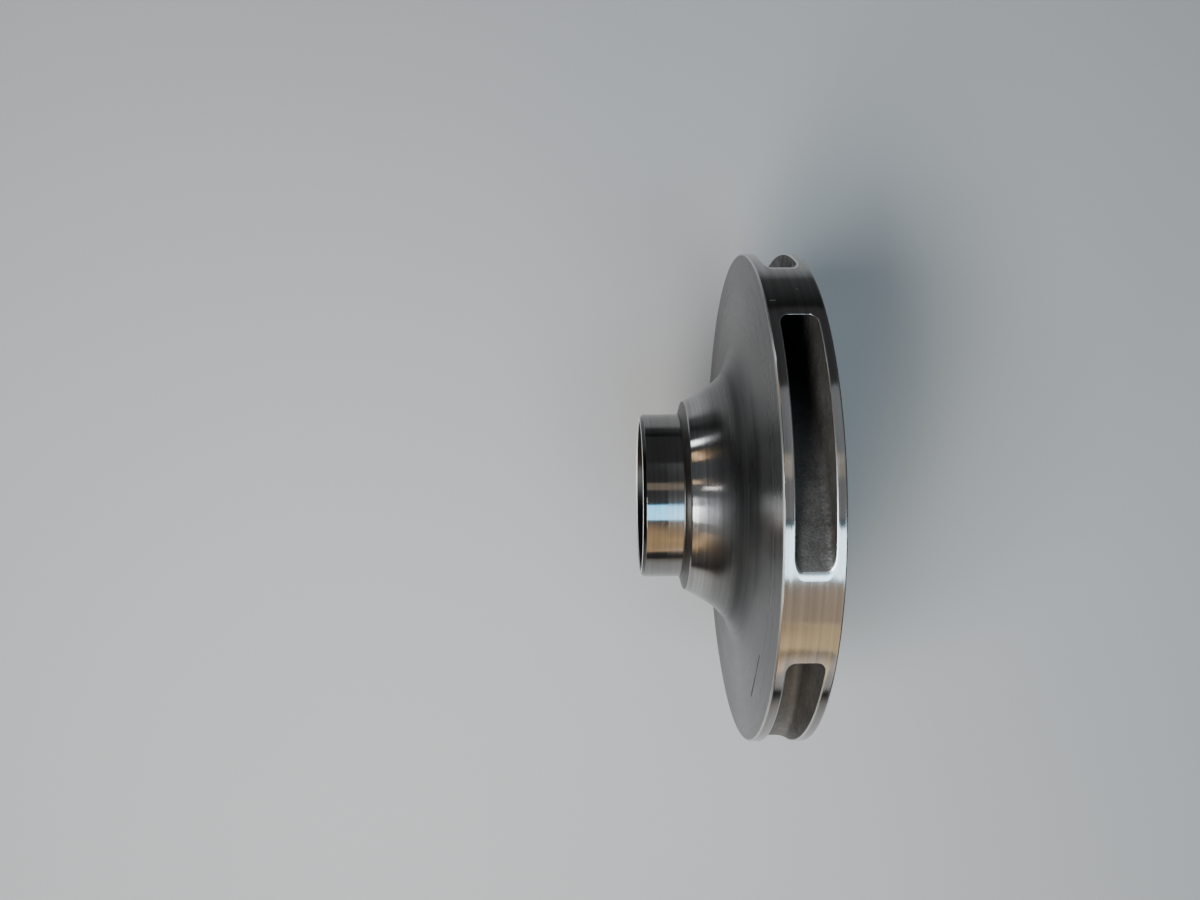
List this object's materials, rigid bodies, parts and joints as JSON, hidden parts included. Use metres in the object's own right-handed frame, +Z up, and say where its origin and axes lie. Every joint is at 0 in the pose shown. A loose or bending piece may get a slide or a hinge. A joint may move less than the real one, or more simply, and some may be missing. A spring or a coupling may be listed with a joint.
{
  "type": "centrifugal pump impeller",
  "caption": "Closed pump impeller in cast and turned stainless steel, with a suction collar, swept back vanes and a keyed hub.",
  "frame": {"origin": "on the floor, under the middle of the impeller as it stands on its rim", "axes": "+Z up, +X along the shaft axis from the suction eye to the back face, +Y across"},
  "size_m": [0.054, 0.1758, 0.1758],
  "materials": {
    "turned_stainless": "fine turned",
    "cast_stainless": "as cast, satin"
  },
  "bodies": {
    "root": {"front_shroud": "turned_stainless", "eye_collar": "turned_stainless", "back_shroud": "turned_stainless", "hub": "turned_stainless", "vane_1": "cast_stainless", "vane_2": "cast_stainless", "vane_3": "cast_stainless", "vane_4": "cast_stainless", "vane_5": "cast_stainless"}
  },
  "joints": []
}
